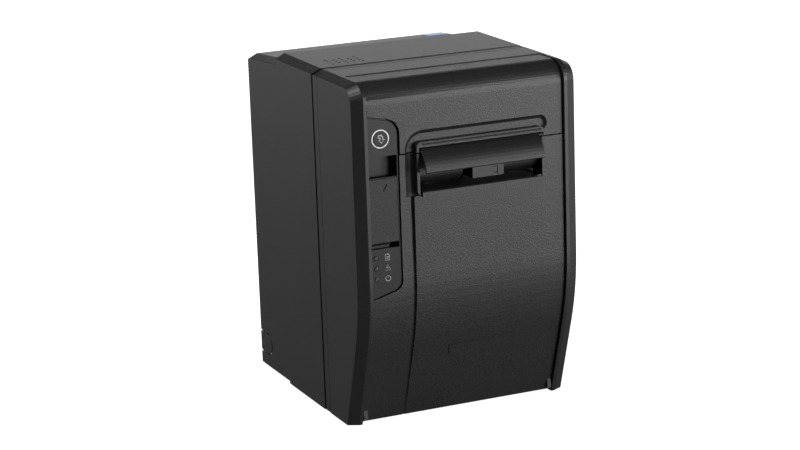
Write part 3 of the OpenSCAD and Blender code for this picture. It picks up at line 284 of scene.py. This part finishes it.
def soften(node, width_mm):
    """Rounds a CAD node's sharp edges for the light with modifiers, so its own mesh stays as it is."""
    weld = node.modifiers.new("weld", "WELD")
    weld.merge_threshold = WELD_REACH
    round_edges = node.modifiers.new("edges", "BEVEL")
    round_edges.width = width_mm * MM
    round_edges.segments = 2
    round_edges.limit_method = "ANGLE"
    round_edges.angle_limit = SHARP_ANGLE
    round_edges.harden_normals = False
    round_edges.use_clamp_overlap = False


for finish, names in finishes.items():
    for name in names.split():
        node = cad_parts[name]
        node.data.materials.clear()
        node.data.materials.append(materials[finish])
        if name in EDGE_WIDTH_MM:
            soften(node, EDGE_WIDTH_MM[name])


# ---------- modelling helpers ----------

def clear_selection():
    """Nothing selected and nothing being edited."""
    if bpy.context.object and bpy.context.object.mode != "OBJECT":
        bpy.ops.object.mode_set(mode="OBJECT")
    bpy.ops.object.select_all(action="DESELECT")


def finish_piece(piece, name, material, body):
    """Names a piece, settles its place in its mesh, and makes it ride on its body."""
    clear_selection()
    piece.select_set(True)
    bpy.context.view_layer.objects.active = piece
    bpy.ops.object.transform_apply(location=True, rotation=True, scale=True)
    piece.name = name
    piece.data.name = name
    piece.data.materials.clear()
    piece.data.materials.append(material)
    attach(piece, body)
    return piece


def traced_line(points, thickness, closed=False):
    """A thin raised line through points, drawn by extruding one vertex and giving the wire a thickness."""
    clear_selection()
    bpy.ops.mesh.primitive_plane_add(size=1, location=points[0])
    line = bpy.context.object
    bpy.ops.object.mode_set(mode="EDIT")
    bpy.ops.mesh.merge(type="CENTER")
    route = points[1:] + (points[:1] if closed else [])
    for start, end in zip(points, route):
        step = Vector(end) - Vector(start)
        bpy.ops.mesh.extrude_region_move(TRANSFORM_OT_translate={"value": step})
    if closed:
        bpy.ops.mesh.select_all(action="SELECT")
        bpy.ops.mesh.remove_doubles(threshold=thickness * 0.1)
    bpy.ops.object.mode_set(mode="OBJECT")
    bpy.ops.object.convert(target="CURVE")
    line.data.bevel_depth = thickness / 2
    line.data.bevel_resolution = 1
    line.data.use_fill_caps = True
    bpy.ops.object.convert(target="MESH")
    return bpy.context.object


def joined(pieces):
    """Several objects joined into the first."""
    clear_selection()
    for piece in pieces:
        piece.select_set(True)
    bpy.context.view_layer.objects.active = pieces[0]
    bpy.ops.object.join()
    return pieces[0]


def arc(x, y, z, radius, start, end, steps):
    """Points along an arc in the X-Z plane, angles in degrees from +X."""
    angles = [radians(start + (end - start) * i / steps) for i in range(steps + 1)]
    return [(x + radius * cos(a), y, z + radius * sin(a)) for a in angles]


# ---------- control panel marks ----------

panel_low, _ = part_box("control_panel")
button_low, button_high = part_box("feed_button")
lamps_low, lamps_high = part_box("status_lamps")
panel_face = panel_low[1]
button_x = (button_low[0] + button_high[0]) / 2
button_z = (button_low[2] + button_high[2]) / 2
button_r = (button_high[0] - button_low[0]) / 2


def make_button_ring():
    """Pale ring printed round the feed button."""
    outer = button_r + 1.25 * MM
    band = 0.7 * MM
    proud = 0.05 * MM
    thickness = 0.2 * MM
    clear_selection()
    bpy.ops.mesh.primitive_circle_add(vertices=72, radius=outer, fill_type="NGON", rotation=(pi / 2, 0, 0),
                                      location=(button_x, panel_face - proud, button_z))
    ring = bpy.context.object
    bpy.ops.object.mode_set(mode="EDIT")
    bpy.ops.mesh.select_all(action="SELECT")
    bpy.ops.mesh.inset(thickness=band)
    bpy.ops.mesh.delete(type="FACE")
    bpy.ops.mesh.select_all(action="SELECT")
    bpy.ops.mesh.extrude_region_move(TRANSFORM_OT_translate={"value": (0, thickness, 0)})
    bpy.ops.mesh.select_all(action="SELECT")
    bpy.ops.mesh.normals_make_consistent(inside=False)
    bpy.ops.object.mode_set(mode="OBJECT")
    finish_piece(ring, "button_ring", materials["print_white"], "casing")


def make_button_arrow():
    """Outline of a bent arrow that points down, printed on the feed button."""
    unit = button_r / 4.4
    stroke = 0.55 * MM
    y = button_low[1] - 0.02 * MM
    outline = [(-1.5, 2.0), (0.4, 2.3), (1.5, 1.1), (1.4, -0.3), (2.4, -0.4), (0.5, -2.5), (-1.3, -0.6),
               (-0.4, -0.5), (-0.3, 0.7), (-1.5, 0.9)]
    points = [(button_x + x * unit, y, button_z + z * unit) for x, z in outline]
    arrow = traced_line(points, stroke, closed=True)
    finish_piece(arrow, "button_arrow", materials["print_white"], "button")


def make_lamp_marks():
    """Plain pictograms beside the lamps: a sheet, a warning triangle and an on-off sign."""
    lamp_width = lamps_high[0] - lamps_low[0]
    pitch = (lamps_high[2] - lamps_low[2] - lamp_width) / 2
    top = lamps_high[2] - lamp_width / 2
    rows = [top - i * pitch for i in range(3)]
    x = lamps_high[0] + 6.2 * MM
    y = panel_face - 0.02 * MM
    stroke = 0.34 * MM
    unit = 1.8 * MM

    def mark(row, outline, closed=False):
        """One line of a pictogram, from points in units about the middle of its row."""
        return traced_line([(x + a * unit, y, rows[row] + b * unit) for a, b in outline], stroke, closed)

    lines = [
        mark(0, [(-0.75, 1), (0.35, 1), (0.75, 0.6), (0.75, -1), (-0.75, -1)], closed=True),
        mark(0, [(-0.4, 0.1), (0.4, 0.1)]),
        mark(0, [(-0.4, -0.4), (0.4, -0.4)]),
        mark(1, [(-1.05, -0.8), (0, 1), (1.05, -0.8)], closed=True),
        mark(1, [(0, 0.35), (0, -0.25)]),
        traced_line(arc(x, y, rows[2], 0.9 * unit, 125, 415, 20), stroke),
        mark(2, [(0, 1.15), (0, 0.25)]),
    ]
    finish_piece(joined(lines), "lamp_pictograms", materials["print_grey"], "casing")


make_button_ring()
make_button_arrow()
make_lamp_marks()


# ---------- painted shade line in the groove round the casing, and label on the rear ---

bezel_low, bezel_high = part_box("front_bezel")
_, rear_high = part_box("rear_panel")


def make_band_seam():
    """Black line that paints the shade of the groove round the casing where the bezel's shallow band begins.
    """
    bezel_depth = 54.5 * MM
    thickness = 0.85 * MM
    sunk = 0.36 * MM
    y = bezel_low[1] + bezel_depth
    left = bezel_low[0] + sunk
    right = bezel_high[0] - sunk
    top = bezel_high[2] - sunk
    slope_x = 6.5 * MM
    slope_z = 3.1 * MM
    low = bezel_low[2] + 1 * MM
    route = [(left, y, low), (left, y, top - slope_z), (left + slope_x, y, top), (right - slope_x, y, top),
             (right, y, top - slope_z), (right, y, low)]
    # The black line stands in for the groove's shade; the moulding there is not black.
    seam = traced_line(route, thickness)
    finish_piece(seam, "band_seam", materials["seam"], "casing")


def make_rear_label():
    """Blank pale label with plain ruled lines on the rear panel."""
    x = -27 * MM
    y = rear_high[1] + 0.1 * MM
    z = 82 * MM
    wide = 42 * MM
    tall = 28 * MM
    thickness = 0.3 * MM
    clear_selection()
    bpy.ops.mesh.primitive_cube_add(size=1, location=(x, y, z), scale=(wide, thickness, tall))
    plate = bpy.context.object
    rounded = plate.modifiers.new("corners", "BEVEL")
    rounded.width = 0.12 * MM
    rounded.segments = 2
    finish_piece(plate, "rear_label", materials["label_grey"], "casing")
    face = y + 0.16 * MM
    half_line = 18 * MM
    line_pitch = 4.6 * MM
    lines = []
    for row in range(5):
        height = z + (row - 2) * line_pitch
        lines.append(traced_line([(x - half_line, face, height), (x + half_line, face, height)], 0.4 * MM))
    finish_piece(joined(lines), "rear_label_lines", materials["seam"], "casing")


make_band_seam()
make_rear_label()


# ---------- floor, backdrop and lamps ----------

SEEN_GLOW = 0.9
MIRRORED_GLOW = 0.06
WORLD_AS_LIGHT = 0.035


def backdrop_material():
    """Floor that is white in the view, keeps the shadow, and is dim as a light source and in reflections."""
    material, nodes, links, shader, _ = new_material("pale_backdrop")
    shader.inputs["Roughness"].default_value = 0.9
    glow = nodes.new("ShaderNodeEmission")
    ray = nodes.new("ShaderNodeLightPath")
    paint = nodes.new("ShaderNodeMix")
    paint.data_type = "RGBA"
    paint.inputs["A"].default_value = (0.18, 0.18, 0.18, 1)
    paint.inputs["B"].default_value = (0.85, 0.85, 0.85, 1)
    links.new(ray.outputs["Is Camera Ray"], paint.inputs["Factor"])
    links.new(paint.outputs["Result"], shader.inputs["Base Color"])
    straight = nodes.new("ShaderNodeMath")
    straight.operation = "MAXIMUM"
    links.new(ray.outputs["Is Camera Ray"], straight.inputs[0])
    links.new(ray.outputs["Is Transmission Ray"], straight.inputs[1])
    seen = nodes.new("ShaderNodeMath")
    seen.operation = "MULTIPLY"
    seen.inputs[1].default_value = SEEN_GLOW
    links.new(straight.outputs["Value"], seen.inputs[0])
    mirrored = nodes.new("ShaderNodeMath")
    mirrored.operation = "MULTIPLY_ADD"
    mirrored.inputs[1].default_value = MIRRORED_GLOW
    links.new(ray.outputs["Is Glossy Ray"], mirrored.inputs[0])
    links.new(seen.outputs["Value"], mirrored.inputs[2])
    links.new(mirrored.outputs["Value"], glow.inputs["Strength"])
    both = nodes.new("ShaderNodeAddShader")
    links.new(shader.outputs["BSDF"], both.inputs[0])
    links.new(glow.outputs["Emission"], both.inputs[1])
    links.new(both.outputs["Shader"], nodes["Material Output"].inputs["Surface"])
    return material


def make_floor():
    """Flat floor a hair below the feet."""
    clear_selection()
    bpy.ops.mesh.primitive_plane_add(size=8, location=(0, 0, -0.2 * MM))
    floor = bpy.context.object
    floor.name = "floor"
    floor.data.materials.append(backdrop_material())


def area_lamp(name, place, target, size, power):
    """Rectangular soft lamp aimed at a point."""
    lamp_data = bpy.data.lights.new(name, "AREA")
    lamp_data.shape = "RECTANGLE"
    lamp_data.size = size[0]
    lamp_data.size_y = size[1]
    lamp_data.energy = power
    lamp = bpy.data.objects.new(name, lamp_data)
    bpy.context.scene.collection.objects.link(lamp)
    aim = Vector(target) - Vector(place)
    lamp.matrix_world = Matrix.Translation(place) @ aim.to_track_quat("-Z", "Y").to_matrix().to_4x4()


def set_world():
    """Surroundings that are white in the view and nearly dark as light and in reflections."""
    world = bpy.data.worlds.new("studio")
    bpy.context.scene.world = world
    world.use_nodes = True
    nodes = world.node_tree.nodes
    links = world.node_tree.links
    sky = nodes["Background"]
    sky.inputs["Color"].default_value = (1, 1, 1, 1)
    ray = nodes.new("ShaderNodeLightPath")
    level = nodes.new("ShaderNodeMapRange")
    level.inputs["To Min"].default_value = WORLD_AS_LIGHT
    level.inputs["To Max"].default_value = 1.0
    links.new(ray.outputs["Is Camera Ray"], level.inputs["Value"])
    links.new(level.outputs["Result"], sky.inputs["Strength"])


make_floor()
set_world()
area_lamp("key_lamp", (1.1, -1.6, 0.29), (0.0, -0.085, 0.12), (1.3, 0.5), 39)
area_lamp("right_lamp", (2.2, -0.9, 0.42), (0.074, -0.05, 0.12), (0.9, 0.6), 14)
area_lamp("rear_lamp", (0.92, 1.55, 0.54), (0, 0, 0.218), (1.5, 0.5), 5.3)
area_lamp("left_lamp", (-1.6, 2.3, 0.24), (-0.074, 0, 0.10), (1.4, 0.44), 10.5)
area_lamp("high_lamp", (-0.9, -0.1, 1.6), (0, 0, 0.2), (0.7, 0.7), 20)
